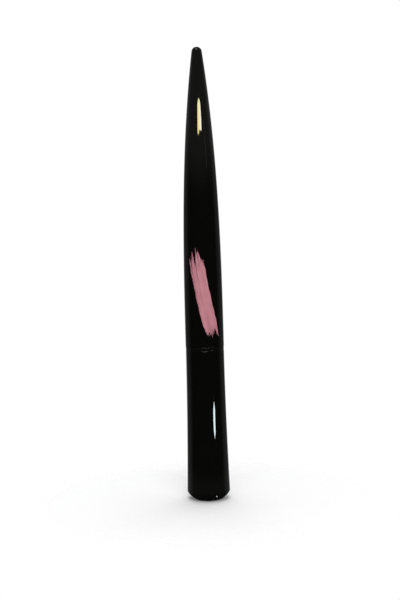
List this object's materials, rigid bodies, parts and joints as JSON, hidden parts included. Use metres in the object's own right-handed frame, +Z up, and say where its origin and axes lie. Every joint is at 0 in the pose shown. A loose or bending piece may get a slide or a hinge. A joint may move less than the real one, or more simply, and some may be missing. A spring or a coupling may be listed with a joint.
{
  "type": "liquid eyeliner pen",
  "caption": "Glossy black liquid eyeliner pen standing on its cap, with a tapered barrel, a printed brush stroke, a brush tip, a sprung inner cap, a collector and an ink tank.",
  "frame": {"origin": "centre of the flat that the cap stands on", "axes": "+Z up the pen from the cap to the barrel's tail, -Y towards the side that carries the printed brush stroke"},
  "size_m": [0.0134, 0.0134, 0.14],
  "materials": {
    "shell_gloss": "gloss",
    "section_gloss": "gloss",
    "liner_plastic": "matte",
    "white_plastic": "satin",
    "seal_rubber": "matte",
    "spring_steel": "satin",
    "ball_steel": "polished",
    "bristle": "soft filaments",
    "collector_plastic": "satin",
    "feed_fibre": "fibrous",
    "tank_plastic": "translucent",
    "plug_plastic": "satin",
    "label_ink": "satin print"
  },
  "bodies": {
    "cap": {"cap_shell": "shell_gloss", "cap_liner": "liner_plastic", "inner_cap_spring": "spring_steel"},
    "inner_cap": {"inner_cap": "white_plastic", "inner_cap_seal": "seal_rubber"},
    "pen": {"barrel": "shell_gloss", "label_print": "label_ink", "front_section": "section_gloss", "brush_tuft": "bristle", "brush_collar": "white_plastic", "collector": "collector_plastic", "feed_rod": "feed_fibre", "ink_tank": "tank_plastic", "tank_plug": "plug_plastic", "tank_seal_ring": "seal_rubber", "tank_tail_plug": "plug_plastic"},
    "mixing_balls": {"mixing_balls": "ball_steel"}
  },
  "joints": [
    {"name": "pen_pull", "type": "slide", "parent": "cap", "child": "pen", "axis": [0, 0, 1], "range_m": [0, 0.04]},
    {"name": "inner_cap_press", "type": "slide", "parent": "cap", "child": "inner_cap", "axis": [0, 0, -1], "range_m": [0, 0.0012], "stiffness_N_per_m": 500, "springref_m": -0.002, "deforming": ["inner_cap_spring"]},
    {"name": "ball_run", "type": "slide", "parent": "pen", "child": "mixing_balls", "axis": [0, 0, 1], "range_m": [0, 0.0258]}
  ]
}
